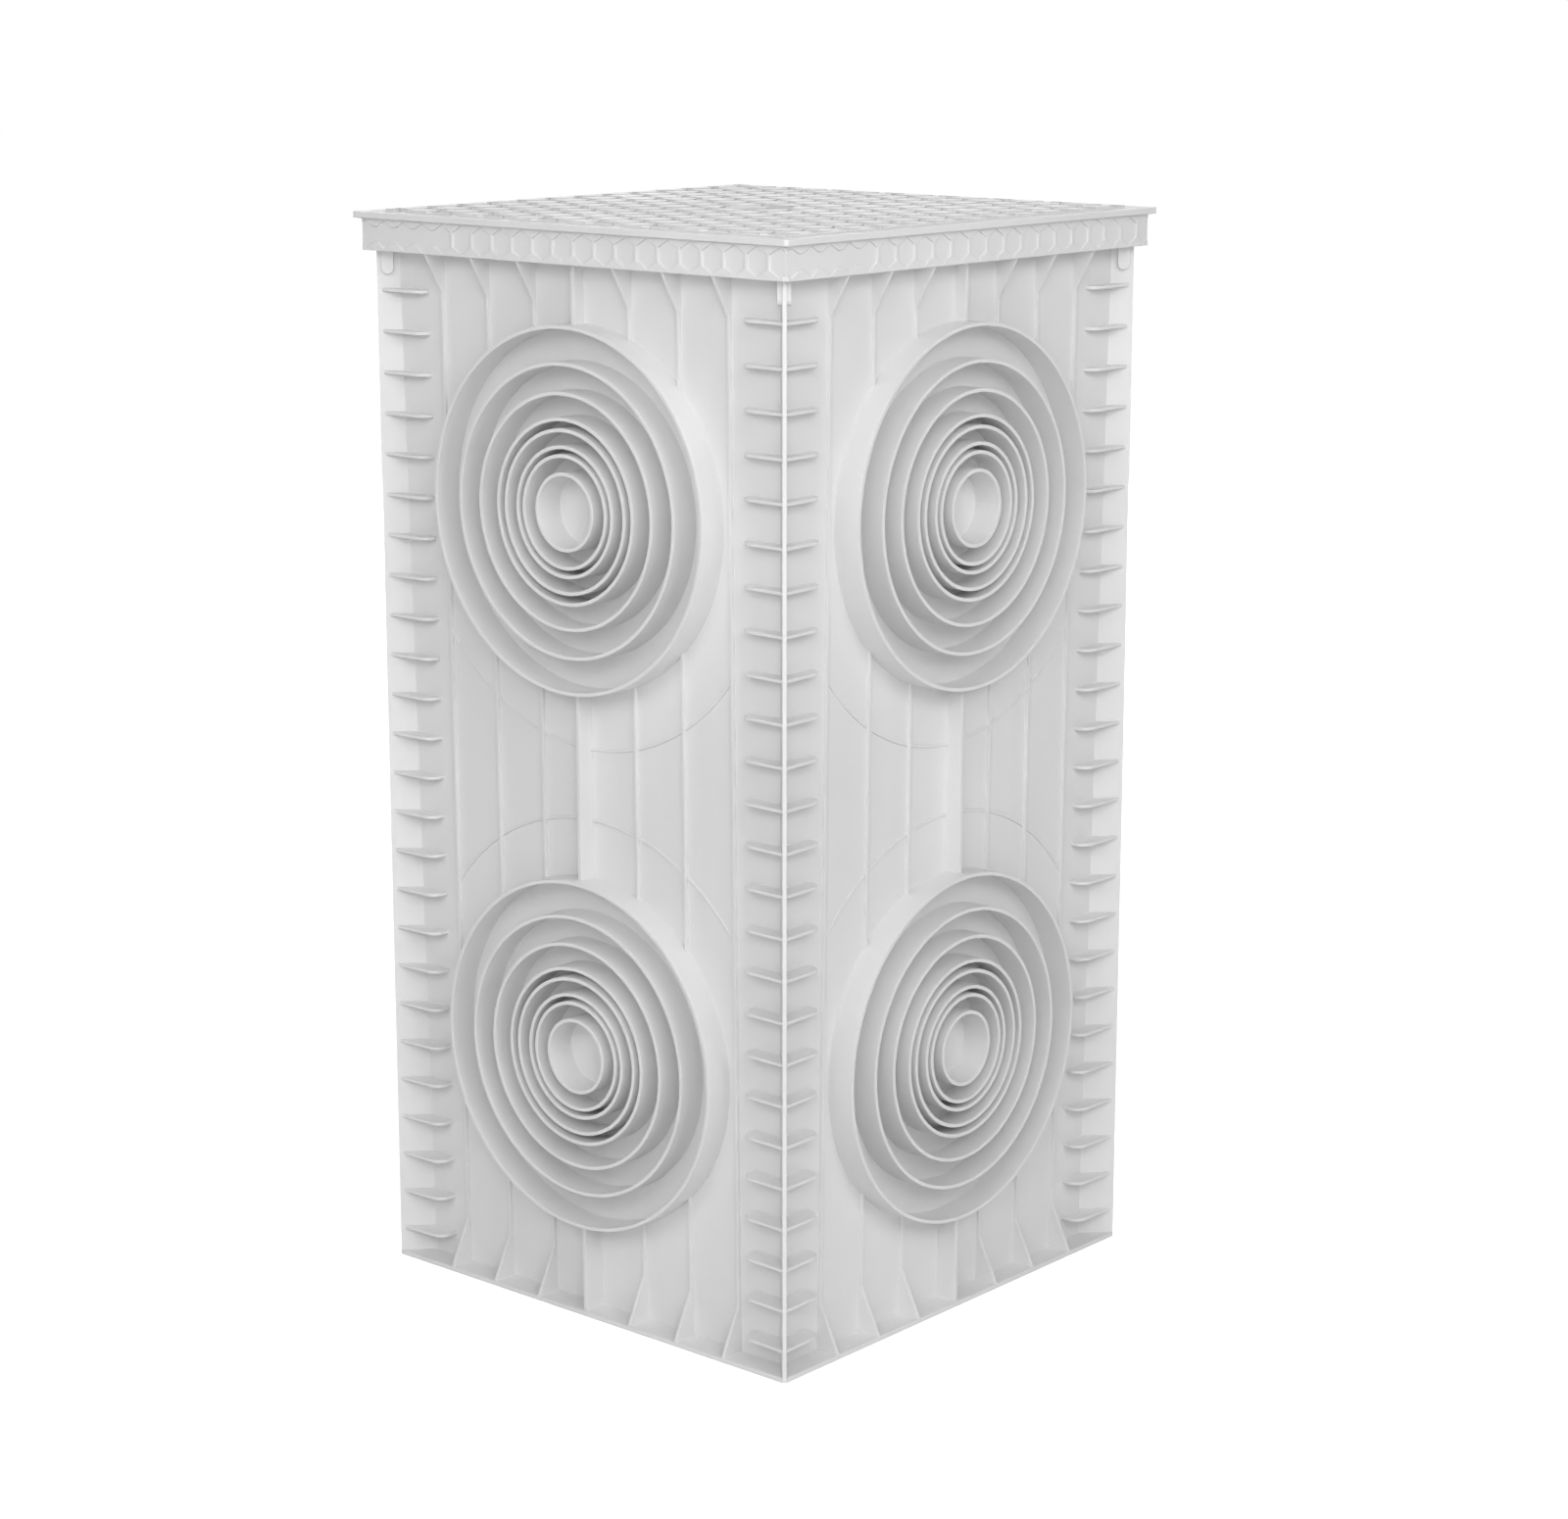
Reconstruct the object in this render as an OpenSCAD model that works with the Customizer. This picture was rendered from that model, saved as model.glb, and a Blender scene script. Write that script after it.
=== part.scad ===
// Drain inspection chamber, 40 x 40 cm, moulded in polypropylene.
// A straight, slightly drafted box with ribbed walls, two sets of nested pipe collars on each face,
// a collar round its mouth and a loose honeycomb lid that rests in that collar.
// Origin: centre of the underside of the foot. +Z up. Units: millimetres.

/* [Box] */

// Width over the tips of the corner fins, which is also the width of the foot plate
envelope_w = 385; // [300:1:600]
// Height of the underside of the top collar
collar_z = 753; // [400:1:1200]
// Thickness of the four walls
wall_t = 3; // [2:0.5:6]
// Depth of the wall face behind the envelope, at the foot
recess_foot = 19; // [8:0.5:30]
// Depth of the wall face behind the envelope, under the top collar
recess_collar = 11.5; // [5:0.5:25]
// Thickness of the foot plate, which is also the chamber's floor
foot_t = 3.5; // [2:0.5:8]
// Corner radius of the foot plate
foot_corner_r = 3; // [1:0.5:15]

/* [Corner fins] */

// Thickness of the diagonal fin at each corner
fin_t = 2.8; // [2:0.2:6]
// Number of level gussets on each fin
gusset_count = 25; // [5:1:40]
// Height of the lowest gusset's underside
gusset_first_z = 20.5; // [10:0.5:60]
// Thickness of a gusset
gusset_t = 2.2; // [1:0.1:4]
// Length of a gusset along the face, from the fin's tip
gusset_l = 43; // [25:1:70]
// Distance of a gusset's edge behind the fin's tip
gusset_setback = 2.2; // [0.5:0.1:5]
// Angle by which a gusset's edge falls back from the envelope
gusset_fall = 2; // [0:0.5:10]
// Radius of a gusset's free end
gusset_end_r = 9; // [2:0.5:12]
// Width of the screw pad at the top of each fin
pad_w = 8.4; // [5:0.1:14]
// Height of the screw pad under the collar, to the end of its round
pad_h = 17; // [8:0.5:30]
// Thickness of the screw pad, across the fin
pad_t = 9; // [6:0.5:20]
// Distance of the screw pad's axis from the fin's tip
pad_setback = 9; // [5:0.5:15]

/* [Wall ribs] */

// Distance from one upright rib to the next
rib_pitch = 45; // [20:1:80]
// Number of shallow ribs on each side of the middle one
rib_pairs = 3; // [1:1:5]
// Thickness of a shallow rib
rib_t = 2.2; // [1:0.1:5]
// Height of a shallow rib above the wall
rib_h = 2.4; // [1:0.1:6]
// Height over which a rib's foot flares out to the envelope
rib_foot_h = 33; // [10:1:80]
// Height over which a rib's head flares out to the edge of the top collar's band
rib_head_h = 28; // [10:1:80]
// Thickness of the deep rib in the middle of the face
mid_rib_t = 3; // [1:0.1:6]
// Distance of the deep rib's edge behind the envelope
mid_rib_setback = 2.5; // [0:0.5:8]

/* [Pipe collars] */

// Height of the lower port's centre above the ground
port_low_z = 196; // [135:1:400]
// Distance of the upper port's centre below the top collar
port_drop = 168; // [135:1:400]
// Bores of the nested pipe collars
collar_bores = [50, 75, 87, 110, 125, 160, 200, 250];
// Wall of a pipe collar
collar_wall_t = 2.5; // [1.5:0.1:4]
// Length of a pipe collar, out of the wall
collar_l = 21.5; // [10:0.5:40]
// Radius of the raised guide arcs between the two ports
arc_r = 169; // [140:1:185]
// Width of a guide arc
arc_w = 1.6; // [0.8:0.1:4]
// Height of a guide arc above the wall
arc_h = 0.9; // [0.4:0.1:3]

/* [Top collar] */

// Distance by which the top collar's band stands out beyond the envelope
top_out = 5.8; // [0:0.1:20]
// Height of the top collar's honeycomb band
band_h = 23; // [15:0.5:50]
// Thickness of the top collar's wall
top_wall_t = 3; // [2:0.5:6]
// Thickness of the ledge that the lid rests on
ledge_t = 3; // [2:0.5:6]
// Distance by which the rim stands out beyond the band
rim_out = 5.2; // [1:0.1:10]
// Height of the rim above the band
rim_h = 4; // [3:0.5:12]
// Height of the bevel under the rim
rim_bevel = 1.4; // [0.5:0.1:5]
// Corner radius of the rim
rim_corner_r = 3; // [1:0.5:10]
// Width of a hexagon of the band's honeycomb, across its flats
hex_w = 19.4; // [10:0.1:25]
// Number of uprights left out at one end of each side, to make room for a label
label_cells = 4; // [0:1:10]
// Width of the raised lines of the honeycomb
bead_w = 2; // [0.8:0.1:3]
// Height of the raised lines of the honeycomb
bead_h = 1.2; // [0.4:0.1:2]

/* [Lid] */

// Free gap between the lid and the top collar, on each side
lid_gap = 0.9; // [0.5:0.1:4]
// Thickness of the lid's plate
lid_plate_t = 3.5; // [2:0.5:8]
// Thickness of the lid's ribs
lid_rib_t = 2.5; // [1.5:0.1:5]
// Number of bays between the ribs under the lid, each way
lid_bays = 6; // [2:1:12]
// Height by which the studs stand above the lid
stud_h = 1.5; // [0.5:0.1:5]
// Distance from one stud to the next
stud_pitch = 30; // [10:0.5:60]
// Gap between the flanks of neighbouring studs
stud_gap = 6; // [2:0.5:20]
// Width of the plain margin round the studs
lid_margin = 8; // [3:0.5:20]
// Width across the corners of the grip pocket in the middle of the lid
grip_w = 60; // [30:1:120]
// Depth of the grip pocket below the lid's plate
grip_depth = 12; // [5:0.5:20]
// Thickness of the grip pocket's wall and floor
grip_wall_t = 2.5; // [1.5:0.1:4]

/* [Hidden] */

// Facets of round shapes where they are meshed
$fn = 96;
// Overlap that makes sure of a clean cut
cut = 1;
envelope_half = envelope_w / 2;
top_half = envelope_half + top_out;
top_w = 2 * top_half;
port_z = [port_low_z, collar_z - port_drop];
gusset_pitch = (collar_z - gusset_first_z) / gusset_count;
draft = atan((recess_foot - recess_collar) / collar_z);
bury = recess_foot + wall_t;
ledge_z = collar_z + ledge_t;
band_top_z = collar_z + band_h;
rim_top_z = band_top_z + rim_h;
mouth_half = envelope_half - recess_collar - wall_t;
lid_half = top_half - top_wall_t - lid_gap;
hex_r = hex_w / sqrt(3);
band_cells_each_way = ceil(top_half / hex_w);
collar_outer_r = max(collar_bores) / 2 + collar_wall_t;
pocket_r = min(collar_bores) / 2 + collar_wall_t;

// Depth of the wall face behind the envelope at a height
function recess(z) = recess_foot - (recess_foot - recess_collar) * z / collar_z;

// Box whose four walls lean by the draft, between two heights
module drafted_box(half_low, half_high, z_low, z_high) {
    side = [[-half_low, z_low], [half_low, z_low], [half_high, z_high], [-half_high, z_high]];
    reach = 2 * max(half_low, half_high) + 2 * cut;
    intersection() {
        rotate([90, 0, 0]) linear_extrude(reach, center = true) polygon(side);
        rotate([90, 0, 90]) linear_extrude(reach, center = true) polygon(side);
    }
}

// Square with round corners
module round_square(w, r) {
    square([w, w - 2 * r], center = true);
    square([w - 2 * r, w], center = true);
    for (x = [-1, 1], y = [-1, 1])
        translate([x, y] * (w / 2 - r)) circle(r);
}

// Repeats its children on the four faces; they are drawn on the front face, at -Y
module on_each_face() {
    for (turn = [0:3])
        rotate([0, 0, 90 * turn]) children();
}

// Places its children on the front face's envelope, with X to the right, Y up and Z outward
module on_face() {
    translate([0, -envelope_half, 0]) rotate([90, 0, 0]) children();
}

// Walls and floor before they are hollowed
module box_core() {
    drafted_box(envelope_half - recess_foot, envelope_half - recess_collar, 0, collar_z + cut);
}

module foot() {
    linear_extrude(foot_t) round_square(envelope_w, foot_corner_r);
}

// Outline of one arm of a gusset; X runs along the face from the fin's tip, Y into the wall
module gusset_arm() {
    shoulder_x = gusset_l - gusset_end_r;
    shoulder_y = gusset_setback + shoulder_x * tan(gusset_fall);
    polygon([
        [gusset_setback, gusset_setback],
        [shoulder_x, shoulder_y],
        [shoulder_x, bury],
        [bury, bury]
    ]);
    translate([shoulder_x, shoulder_y + gusset_end_r]) circle(gusset_end_r);
    translate([shoulder_x - cut, shoulder_y + gusset_end_r])
        square([gusset_end_r + cut, bury - shoulder_y - gusset_end_r]);
}

// Diagonal fin with its ladder of gussets, at the front right corner
module corner_ladder() {
    tip = envelope_half * sqrt(2) - fin_t / 2;
    root = (envelope_half - bury) * sqrt(2);
    rotate([0, 0, -45]) {
        translate([root, -fin_t / 2, 0]) cube([tip - root, fin_t, collar_z + cut]);
        translate([envelope_half * sqrt(2) - pad_setback, 0, 0]) screw_pad();
    }
    for (i = [0:gusset_count - 1])
        translate([envelope_half, -envelope_half, gusset_first_z + i * gusset_pitch])
            linear_extrude(gusset_t) {
                mirror([1, 0]) gusset_arm();
                rotate(90) gusset_arm();
            }
}

// Thickening with a round lower end, under the collar, for a screw through the lid's corner
module screw_pad() {
    axis_z = collar_z - pad_h + pad_w / 2;
    rotate([90, 0, 0]) linear_extrude(pad_t, center = true) {
        translate([0, axis_z]) circle(d = pad_w);
        translate([-pad_w / 2, axis_z]) square([pad_w, collar_z + cut - axis_z]);
    }
}

// Side view of a shallow rib; X is the depth behind the envelope
module rib_side() {
    foot_top = foot_t + rib_foot_h;
    head_low = collar_z - rib_head_h;
    polygon([
        [0, 0],
        [0, foot_t],
        [recess(foot_top) - rib_h, foot_top],
        [recess(head_low) - rib_h, head_low],
        [-top_out, collar_z],
        [bury, collar_z],
        [bury, 0]
    ]);
}

module wall_ribs() {
    difference() {
        union() {
            for (i = [-rib_pairs:rib_pairs])
                if (i != 0)
                    translate([i * rib_pitch, -envelope_half, 0])
                        rotate([90, 0, 90]) linear_extrude(rib_t, center = true) rib_side();
            translate([-mid_rib_t / 2, mid_rib_setback - envelope_half, 0])
                cube([mid_rib_t, bury - mid_rib_setback, collar_z]);
        }
        for (z = port_z)
            on_face() translate([0, z, -bury - cut]) cylinder(r = collar_outer_r - cut, h = 2 * bury);
    }
}

// The nested collars of one port, as long as the pipes need, from the wall out
module port_collars(z) {
    front = collar_l - recess(z);
    on_face() translate([0, z, -bury])
        rotate_extrude()
            for (bore = collar_bores)
                translate([bore / 2, 0]) square([collar_wall_t, bury + front]);
}

// Knock-out disc of one port: the innermost collar's floor, square to the pipe
module knock_out_disc(z) {
    on_face() translate([0, z, -bury])
        cylinder(r = pocket_r - collar_wall_t / 2, h = bury - recess(z + pocket_r));
}

// Raised arc about each port, drawn only between the two ports and between the outer ribs
module guide_arcs() {
    reach = rib_pairs * rib_pitch;
    middle_z = (port_z[0] + port_z[1]) / 2;
    for (z = port_z)
        intersection() {
            translate([0, -envelope_half + recess(z), z]) rotate([90 + draft, 0, 0])
                translate([0, 0, -wall_t])
                    linear_extrude(wall_t + arc_h) difference() {
                        circle(arc_r + arc_w / 2);
                        circle(arc_r - arc_w / 2);
                    }
            translate([0, -envelope_half, middle_z])
                cube([2 * reach, 2 * bury, port_z[1] - port_z[0]], center = true);
        }
}

// Hexagon with its flats at its left and right
module hex_cell(r) {
    polygon([for (a = [30:60:330]) r * [cos(a), sin(a)]]);
}

// Raised lines on one side of the band, without uprights where a label goes
module band_honeycomb() {
    on_face() translate([0, collar_z, top_half - envelope_half - cut])
        linear_extrude(cut + bead_h) difference() {
            translate([bead_w / 2 - top_half, 0]) square([top_w - bead_w, band_h]);
            for (i = [-band_cells_each_way:band_cells_each_way])
                translate([i * hex_w, band_h / 2]) hex_cell(hex_r - bead_w / sqrt(3));
            if (label_cells > 0)
                translate([(1 - band_cells_each_way) * hex_w, (band_h - hex_r) / 2])
                    square([label_cells * hex_w, hex_r]);
        }
}

module top_collar() {
    translate([0, 0, collar_z]) linear_extrude(band_h) square(top_w, center = true);
    drafted_box(top_half, top_half + rim_out, band_top_z - rim_bevel, band_top_z);
    translate([0, 0, band_top_z]) linear_extrude(rim_h) round_square(top_w + 2 * rim_out, rim_corner_r);
}

// Inside of the chamber, from the floor to the mouth
module chamber_space() {
    inner_foot = envelope_half - recess(foot_t) - wall_t;
    drafted_box(inner_foot, mouth_half, foot_t, collar_z);
    translate([0, 0, collar_z - cut]) linear_extrude(ledge_t + 2 * cut) square(2 * mouth_half, center = true);
}

// Seat of the lid, inside the top collar
module lid_seat() {
    translate([0, 0, ledge_z]) linear_extrude(band_h + rim_h)
        square(2 * (top_half - top_wall_t), center = true);
}

module body() {
    color([0.80, 0.80, 0.79]) difference() {
        union() {
            box_core();
            foot();
            on_each_face() {
                corner_ladder();
                wall_ribs();
                guide_arcs();
                band_honeycomb();
                for (z = port_z) {
                    port_collars(z);
                    knock_out_disc(z);
                }
            }
            top_collar();
        }
        chamber_space();
        lid_seat();
    }
}

// Hexagonal studs over the lid, inside its plain margin
module lid_studs() {
    field = lid_half - lid_margin;
    row = stud_pitch * sqrt(3) / 2;
    rows = ceil(field / row);
    columns = ceil(field / stud_pitch);
    intersection() {
        square(2 * field, center = true);
        for (i = [-rows:rows], k = [-columns - 1:columns])
            translate([i * row, (k + (i % 2 == 0 ? 0 : 0.5)) * stud_pitch])
                rotate(30) hex_cell((stud_pitch - stud_gap) / sqrt(3));
    }
}

// Outline of the grip pocket, grown by a wall
module grip_outline(wall) {
    rotate(30) hex_cell(grip_w / 2 + wall * 2 / sqrt(3));
}

// Ribs under the lid's plate: a wall round its edge and a grid across it
module lid_ribs() {
    difference() {
        square(2 * lid_half, center = true);
        square(2 * (lid_half - lid_rib_t), center = true);
    }
    for (i = [1:lid_bays - 1]) {
        offset_i = (i / lid_bays - 0.5) * 2 * lid_half;
        translate([offset_i, 0]) square([lid_rib_t, 2 * lid_half], center = true);
        translate([0, offset_i]) square([2 * lid_half, lid_rib_t], center = true);
    }
}

module lid() {
    plate_z = rim_top_z - lid_plate_t;
    grip_z = plate_z - grip_depth;
    color([0.78, 0.78, 0.77]) difference() {
        union() {
            translate([0, 0, plate_z]) linear_extrude(lid_plate_t) square(2 * lid_half, center = true);
            translate([0, 0, plate_z]) linear_extrude(lid_plate_t + stud_h) lid_studs();
            translate([0, 0, ledge_z]) linear_extrude(plate_z - ledge_z + cut) lid_ribs();
            translate([0, 0, grip_z - grip_wall_t])
                linear_extrude(grip_depth + grip_wall_t + cut) grip_outline(grip_wall_t);
        }
        translate([0, 0, grip_z]) linear_extrude(rim_top_z + stud_h + cut - grip_z) grip_outline(0);
    }
}

body();
lid();
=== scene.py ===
"""Looks for the drain inspection chamber: moulded plastic on both pieces, floor, soft light and camera."""
import math

import bpy
from mathutils import Matrix, Vector


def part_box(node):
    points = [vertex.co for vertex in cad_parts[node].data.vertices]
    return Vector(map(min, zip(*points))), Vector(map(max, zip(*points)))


# Camera: place and clip distances in metres, heading and pitch in degrees, lens and sensor in millimetres
CAM_POS = (1.6825, -1.9092, 0.9520)
CAM_YAW = 130.969
CAM_PITCH = -12.711
CAM_LENS = 81.22
SENSOR_W = 36.0
CLIP_RANGE = (0.05, 60.0)

# Plastic: linear colours, roughness of each piece, and how far roughness falls and rises over the surface
BODY_COLOUR = (0.735, 0.735, 0.733)
LID_COLOUR = (0.680, 0.680, 0.678)
BODY_ROUGHNESS = 0.50
LID_ROUGHNESS = 0.54
ROUGHNESS_SWING = (-0.05, 0.06)
PLASTIC_IOR = 1.49
SPECULAR_LEVEL = 0.42

# How much the tone varies in broad clouds, and in flow streaks and specks
CLOUD_SWING = 0.03
FINE_SWING = 0.01

# Edges: how much lighter their painted highlight makes them, how far in that reaches, the occlusions between
# which it fades, and the radius that softens them
EDGE_HIGHLIGHT = 0.08
EDGE_REACH = 0.0015
EDGE_FADE = (0.45, 0.95)
BEVEL_RADIUS = 0.0008

# Noise patterns: waves a metre, detail, roughness; the middle stretch of their values is the one that shows
CLOUD = (7.0, 4.0, 0.55)
STREAK = (40.0, 3.0, 0.6)
SPECK = (900.0, 2.0, 0.7)
GRAIN = (1500.0, 3.0, 0.6)
WAVE = (28.0, 2.0, 0.4)
STREAK_STRETCH = (1, 1, 0.06)
NOISE_SPAN = (0.3, 0.7)

# Relief of the grain and of the slow waves in the walls: strength and height in metres
GRAIN_RELIEF = (0.22, 0.00012)
WAVE_RELIEF = (0.30, 0.0010)

# Studs on the lid: their spacing, the depth below the lid's top that only they reach above, how much a
# painted highlight lightens their middles and painted shade darkens their edges, and the distances from the
# middle between which the one fades into the other
STUD_PITCH = 0.030
STUD_DEPTH = 0.0007
STUD_HIGHLIGHT = 0.13
STUD_FADE = (0.0045, 0.0095)

# Rest of the lid: how much painted fill light lifts the plate between the studs above the plain colour, the
# depth below the lid's top under which only the grip pocket lies, and how much darker its painted shade is
PLATE_FILL_LIGHT = 0.11
POCKET_DEPTH = 0.0025
POCKET_SHADE = 0.10

# Light: each softbox has a name, azimuth and elevation in degrees, distance in metres and power in watts, and
# faces one point a little above the object's middle
WORLD_STRENGTH = 0.17
WORLD_COLOUR = (0.98, 0.99, 1.0)
LAMP_SIZE = 1.6
LAMPS = (
    ("front", -48, 18, 3.2, 25.0),
    ("high", -48, 38, 2.6, 13.0),
    ("left", -84, 28, 4.0, 29.0),
    ("right", -12, 28, 4.0, 40.0),
    ("back", 132, 10, 4.0, 34.0),
    ("low_back", 132, 0, 4.0, 40.0),
)
LIT_POINT = Vector((0, 0, 0.42))

# Floor: size, height of its top just under the foot, its matt finish, and the glow that makes it look white
FLOOR_SIZE = 30
FLOOR_Z = -0.0005
FLOOR_COLOUR = (0.86, 0.86, 0.86)
FLOOR_ROUGHNESS = 0.9
FLOOR_SPECULAR = 0.1
FLOOR_GLOW = 0.84


def add(tree, kind, x, y, **values):
    """A node of that kind at a place in the tree; values set its properties or, by name, its inputs."""
    n = tree.nodes.new(kind)
    n.location = (x, y)
    for key, value in values.items():
        if key in n.inputs:
            n.inputs[key].default_value = value
        else:
            setattr(n, key, value)
    return n


def noise(tree, coords, x, y, pattern, stretch=(1, 1, 1)):
    """Noise over the object's own coordinates; the pattern is its scale, detail and roughness."""
    mapping = add(tree, "ShaderNodeMapping", x, y)
    mapping.inputs["Scale"].default_value = stretch
    tree.links.new(coords, mapping.inputs["Vector"])
    scale, detail, roughness = pattern
    n = add(tree, "ShaderNodeTexNoise", x + 200, y, Scale=scale, Detail=detail, Roughness=roughness)
    tree.links.new(mapping.outputs["Vector"], n.inputs["Vector"])
    return n.outputs["Fac"]


def to_range(tree, value, x, y, low, high, start, end):
    """Maps a value from start..end to low..high."""
    n = add(tree, "ShaderNodeMapRange", x, y)
    n.inputs["From Min"].default_value = start
    n.inputs["From Max"].default_value = end
    n.inputs["To Min"].default_value = low
    n.inputs["To Max"].default_value = high
    tree.links.new(value, n.inputs["Value"])
    return n.outputs["Result"]


def maths(tree, operation, a, b, x, y):
    """A sum, product or comparison of two values, each a number or another node's output."""
    n = add(tree, "ShaderNodeMath", x, y, operation=operation)
    for socket, value in zip(n.inputs, (a, b)):
        if isinstance(value, (int, float)):
            socket.default_value = value
        else:
            tree.links.new(value, socket)
    return n.outputs["Value"]


def relief(tree, normal, height, x, y, strength_and_distance):
    """Bump of one pattern on top of a normal."""
    strength, distance = strength_and_distance
    n = add(tree, "ShaderNodeBump", x, y, Strength=strength, Distance=distance)
    tree.links.new(normal, n.inputs["Normal"])
    tree.links.new(height, n.inputs["Height"])
    return n.outputs["Normal"]


def distance_to_stud(tree, coords):
    """Distance from the middle of the nearest stud; their grid is two rectangular ones, half a cell apart."""
    half = (STUD_PITCH * math.sqrt(3) / 2, STUD_PITCH / 2, 1)
    flat = add(tree, "ShaderNodeVectorMath", -2300, 900, operation="MULTIPLY")
    flat.inputs[1].default_value = (1, 1, 0)
    tree.links.new(coords, flat.inputs[0])
    distances = []
    for k, shift in enumerate(((0, 0, 0), (half[0], half[1], 0))):
        moved = add(tree, "ShaderNodeVectorMath", -2100, 1000 - 200 * k, operation="ADD")
        moved.inputs[1].default_value = shift
        tree.links.new(flat.outputs["Vector"], moved.inputs[0])
        cell = add(tree, "ShaderNodeVectorMath", -1900, 1000 - 200 * k, operation="WRAP")
        cell.inputs[1].default_value = half
        cell.inputs[2].default_value = [-v for v in half]
        tree.links.new(moved.outputs["Vector"], cell.inputs[0])
        length = add(tree, "ShaderNodeVectorMath", -1700, 1000 - 200 * k, operation="LENGTH")
        tree.links.new(cell.outputs["Vector"], length.inputs[0])
        distances.append(length.outputs["Value"])
    return maths(tree, "MINIMUM", distances[0], distances[1], -1500, 900)


def lid_painted_light(tree, coords):
    """Painted light on the lid: highlighted stud middles, shaded stud edges, a lifted plate and a shaded grip
    pocket.
    """
    # Painted highlight in each stud's middle, fading out to painted shade at its edge
    middle, edge = STUD_HIGHLIGHT - PLATE_FILL_LIGHT, -STUD_HIGHLIGHT - PLATE_FILL_LIGHT
    stud_light = to_range(tree, distance_to_stud(tree, coords), -1300, 900, middle, edge, *STUD_FADE)
    split = add(tree, "ShaderNodeSeparateXYZ", -1500, 1100)
    tree.links.new(coords, split.inputs[0])
    height = split.outputs["Z"]
    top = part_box("lid")[1].z
    on_stud = maths(tree, "GREATER_THAN", height, top - STUD_DEPTH, -1300, 1100)
    # Painted shade: the grip pocket, a recess, made darker than the plain colour
    in_pocket = maths(tree, "LESS_THAN", height, top - POCKET_DEPTH, -1300, 1300)
    studs = maths(tree, "MULTIPLY", stud_light, on_stud, -1100, 1000)
    pocket = maths(tree, "MULTIPLY", in_pocket, -POCKET_SHADE - PLATE_FILL_LIGHT, -1100, 1200)
    # Painted fill light lifts the rest of the lid; the stud and pocket terms take it back off where they
    # apply
    return maths(tree, "ADD", maths(tree, "ADD", studs, pocket, -900, 1100), 1 + PLATE_FILL_LIGHT, -700, 1100)


def plastic_tone(tree, coords, cloud, painted_light):
    """Factor on the plain colour: clouds, flow streaks, specks, painted highlights on edges, and the piece's
    painted light.
    """
    streak = noise(tree, coords, -1450, 150, STREAK, STREAK_STRETCH)
    speck = noise(tree, coords, -1450, -100, SPECK)
    tone = to_range(tree, cloud, -950, 400, 1 - CLOUD_SWING, 1 + CLOUD_SWING, *NOISE_SPAN)
    for value, x, y in ((streak, -700, 300), (speck, -500, 250)):
        fine = to_range(tree, value, x - 250, y - 200, 1 - FINE_SWING, 1 + FINE_SWING, *NOISE_SPAN)
        tone = maths(tree, "MULTIPLY", tone, fine, x, y)
    # Painted highlight: edges made lighter, as if their rounding catches the light
    rim = add(tree, "ShaderNodeAmbientOcclusion", -950, 650, samples=6, inside=True, only_local=True)
    rim.inputs["Distance"].default_value = EDGE_REACH
    lit_edges = to_range(tree, rim.outputs["AO"], -700, 600, 1 + EDGE_HIGHLIGHT, 1.0, *EDGE_FADE)
    tone = maths(tree, "MULTIPLY", tone, lit_edges, -450, 450)
    # The piece's own painted highlights and painted shade, if it has any
    if painted_light:
        tone = maths(tree, "MULTIPLY", tone, painted_light(tree, coords), -450, 700)
    return tone


def moulded_plastic(name, colour, roughness, painted_light=None):
    """Matt moulded polypropylene: its tone, a sheen that follows the clouds, fine grain and soft edges."""
    m = bpy.data.materials.new(name)
    m.use_nodes = True
    m.diffuse_color = (*colour, 1)
    t = m.node_tree
    shader = t.nodes["Principled BSDF"]
    coords = add(t, "ShaderNodeTexCoord", -1700, 0).outputs["Object"]
    cloud = noise(t, coords, -1450, 400, CLOUD)

    shade = add(t, "ShaderNodeVectorMath", -300, 300, operation="SCALE")
    shade.inputs[0].default_value = colour
    t.links.new(plastic_tone(t, coords, cloud, painted_light), shade.inputs["Scale"])
    t.links.new(shade.outputs["Vector"], shader.inputs["Base Color"])

    smooth, rough = (roughness + swing for swing in ROUGHNESS_SWING)
    t.links.new(to_range(t, cloud, -700, 0, smooth, rough, *NOISE_SPAN), shader.inputs["Roughness"])
    shader.inputs["IOR"].default_value = PLASTIC_IOR
    shader.inputs["Specular IOR Level"].default_value = SPECULAR_LEVEL

    edge = add(t, "ShaderNodeBevel", -700, -600, samples=4, Radius=BEVEL_RADIUS)
    fine = relief(t, edge.outputs["Normal"], noise(t, coords, -1450, -350, GRAIN), -450, -350, GRAIN_RELIEF)
    broad = relief(t, fine, noise(t, coords, -1450, -600, WAVE), -200, -350, WAVE_RELIEF)
    t.links.new(broad, shader.inputs["Normal"])
    return m


def dress(obj, material):
    """Puts one material on every slot of an object."""
    if not obj.data.materials:
        obj.data.materials.append(material)
    for slot in obj.material_slots:
        slot.material = material


def seen_directly(tree, x, y):
    """1 for rays from the camera and for what is seen in gloss or through glass."""
    path = add(tree, "ShaderNodeLightPath", x, y)
    seen = maths(tree, "MAXIMUM", path.outputs["Is Camera Ray"], path.outputs["Is Glossy Ray"], x + 200, y)
    return maths(tree, "MAXIMUM", seen, path.outputs["Is Transmission Ray"], x + 400, y)


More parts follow.
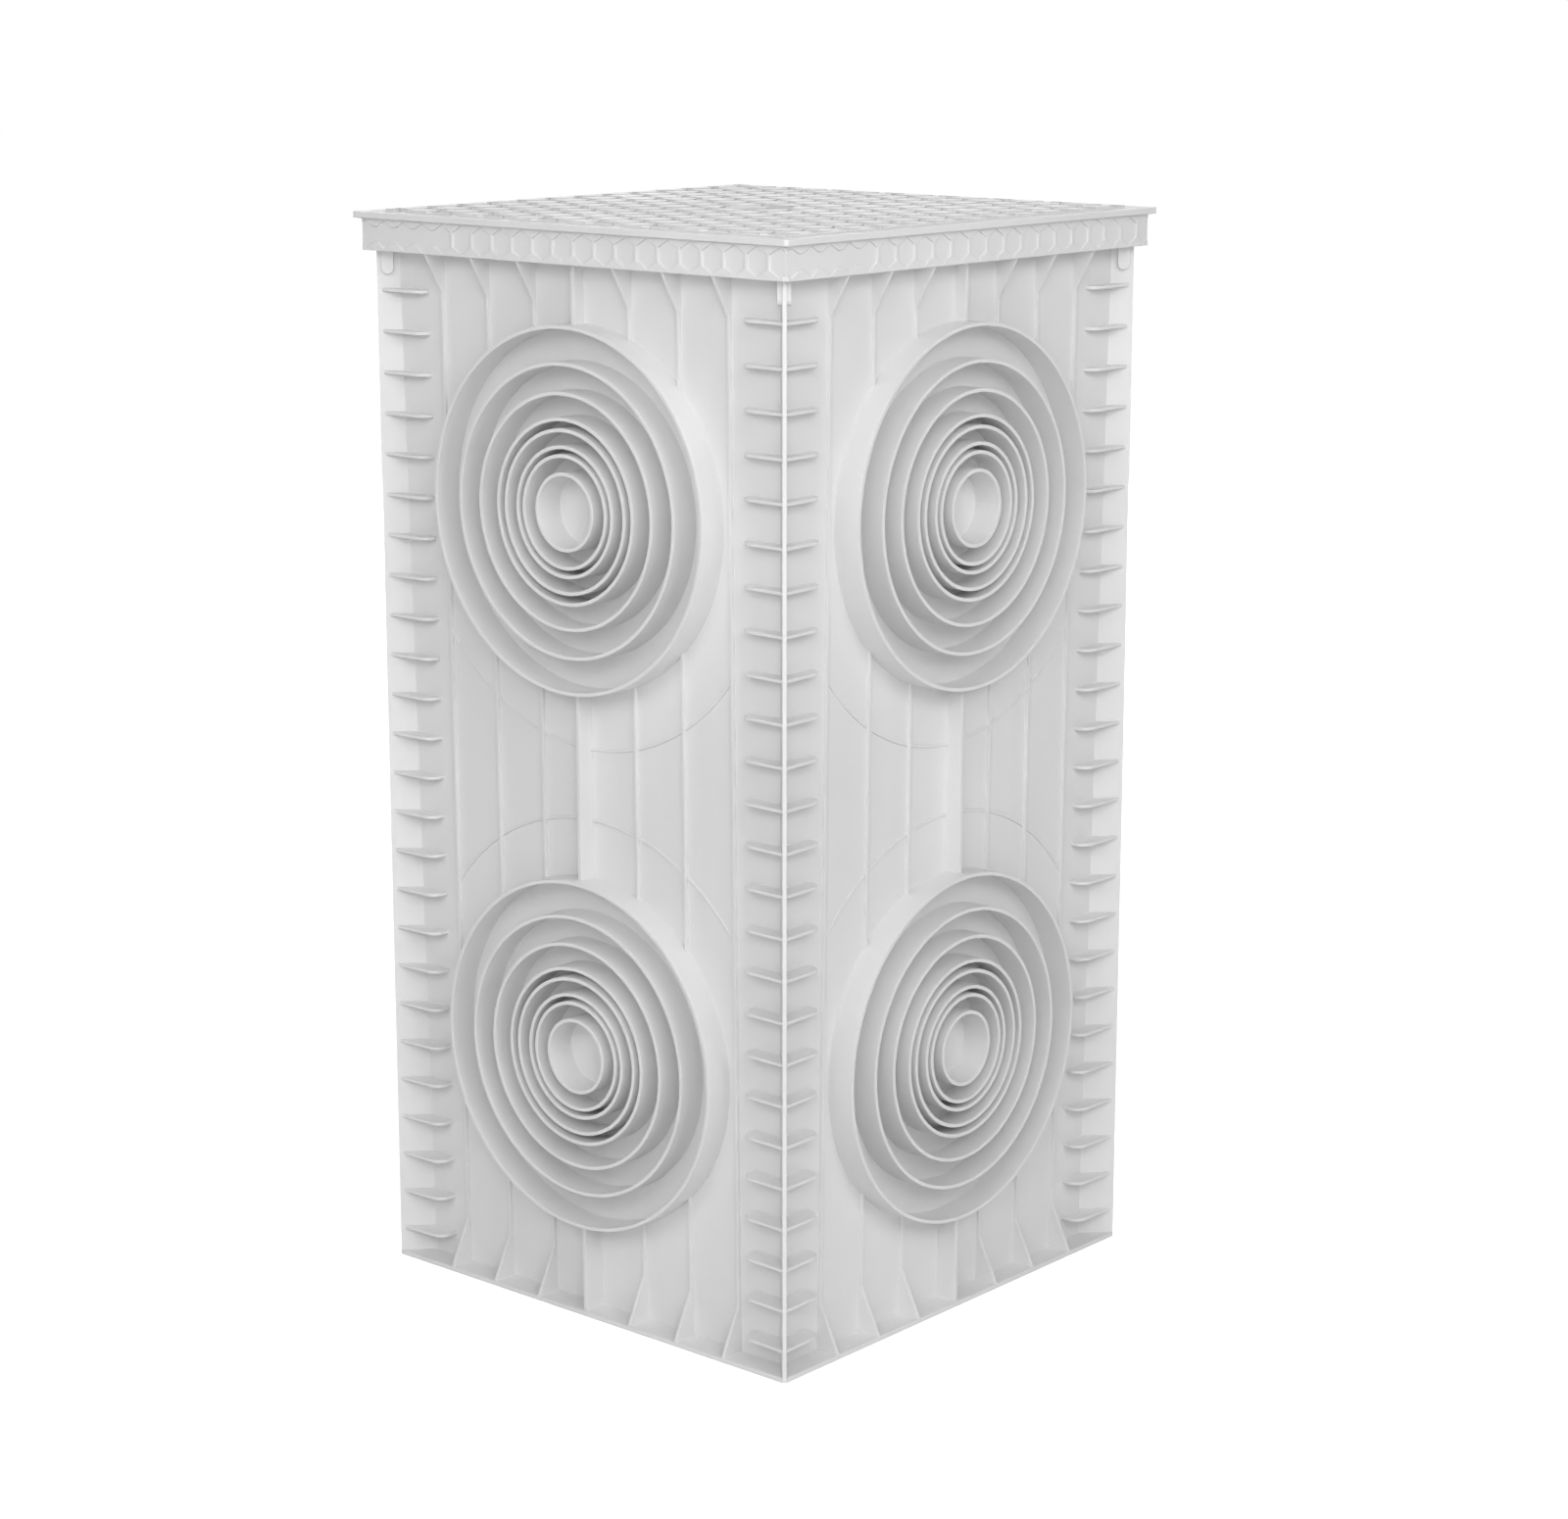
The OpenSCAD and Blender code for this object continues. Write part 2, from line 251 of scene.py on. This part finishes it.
def make_floor():
    """Pale floor under the object, which looks white and keeps the object's shadow."""
    bpy.ops.mesh.primitive_plane_add(size=FLOOR_SIZE, location=(0, 0, FLOOR_Z))
    floor = bpy.context.object
    floor.name = "floor"
    m = bpy.data.materials.new("floor_paper")
    m.use_nodes = True
    t = m.node_tree
    shader = t.nodes["Principled BSDF"]
    shader.inputs["Base Color"].default_value = (*FLOOR_COLOUR, 1)
    shader.inputs["Roughness"].default_value = FLOOR_ROUGHNESS
    shader.inputs["Specular IOR Level"].default_value = FLOOR_SPECULAR
    shader.inputs["Emission Color"].default_value = (1, 1, 1, 1)
    glow = maths(t, "MULTIPLY", seen_directly(t, -900, -300), FLOOR_GLOW, -300, -300)
    t.links.new(glow, shader.inputs["Emission Strength"])
    dress(floor, m)


def make_world():
    """Even studio light; white where the camera looks past the object."""
    world = bpy.data.worlds.new("studio")
    bpy.context.scene.world = world
    world.use_nodes = True
    t = world.node_tree
    t.nodes.clear()
    soft = add(t, "ShaderNodeBackground", 0, 100)
    soft.inputs["Color"].default_value = (*WORLD_COLOUR, 1)
    soft.inputs["Strength"].default_value = WORLD_STRENGTH
    white = add(t, "ShaderNodeBackground", 0, -100)
    white.inputs["Color"].default_value = (1, 1, 1, 1)
    white.inputs["Strength"].default_value = 1.0
    mix = add(t, "ShaderNodeMixShader", 250, 0)
    out = add(t, "ShaderNodeOutputWorld", 450, 0)
    t.links.new(seen_directly(t, -700, 0), mix.inputs[0])
    t.links.new(soft.outputs[0], mix.inputs[1])
    t.links.new(white.outputs[0], mix.inputs[2])
    t.links.new(mix.outputs[0], out.inputs["Surface"])


def direction(azimuth, elevation):
    """Unit vector towards an azimuth and an elevation, both in degrees."""
    az, el = math.radians(azimuth), math.radians(elevation)
    return Vector((math.cos(el) * math.cos(az), math.cos(el) * math.sin(az), math.sin(el)))


def softbox(name, azimuth, elevation, distance, watts):
    """Square area lamp that faces the lit point."""
    data = bpy.data.lights.new(name, "AREA")
    data.shape = "SQUARE"
    data.size = LAMP_SIZE
    data.energy = watts
    lamp = bpy.data.objects.new(name, data)
    bpy.context.collection.objects.link(lamp)
    out = direction(azimuth, elevation)
    lamp.location = LIT_POINT + out * distance
    lamp.rotation_euler = (-out).to_track_quat("-Z", "Y").to_euler()


def make_camera():
    """Camera a little above the object, looking down at its near corner."""
    data = bpy.data.cameras.new("camera")
    data.sensor_fit = "HORIZONTAL"
    data.sensor_width = SENSOR_W
    data.lens = CAM_LENS
    data.clip_start, data.clip_end = CLIP_RANGE
    camera = bpy.data.objects.new("camera", data)
    bpy.context.collection.objects.link(camera)
    forward = direction(CAM_YAW, CAM_PITCH)
    right = forward.cross(Vector((0, 0, 1))).normalized()
    up = right.cross(forward)
    camera.matrix_world = Matrix.Translation(CAM_POS) @ Matrix((right, up, -forward)).transposed().to_4x4()
    bpy.context.scene.camera = camera


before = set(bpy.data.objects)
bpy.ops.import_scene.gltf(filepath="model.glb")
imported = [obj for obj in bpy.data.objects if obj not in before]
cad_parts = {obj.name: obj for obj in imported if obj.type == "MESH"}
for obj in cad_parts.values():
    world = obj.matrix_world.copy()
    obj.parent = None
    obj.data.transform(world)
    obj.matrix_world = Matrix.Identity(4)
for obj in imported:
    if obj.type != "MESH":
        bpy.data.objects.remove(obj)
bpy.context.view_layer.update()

make_camera()
dress(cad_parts["body"], moulded_plastic("body_plastic", BODY_COLOUR, BODY_ROUGHNESS))
# The lid gets painted highlights and painted shade on its studs, painted fill light on its plate and painted
# shade in its grip pocket
dress(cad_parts["lid"], moulded_plastic("lid_plastic", LID_COLOUR, LID_ROUGHNESS, lid_painted_light))

make_floor()
make_world()
for lamp in LAMPS:
    softbox(*lamp)
bpy.context.scene.view_settings.view_transform = "Standard"
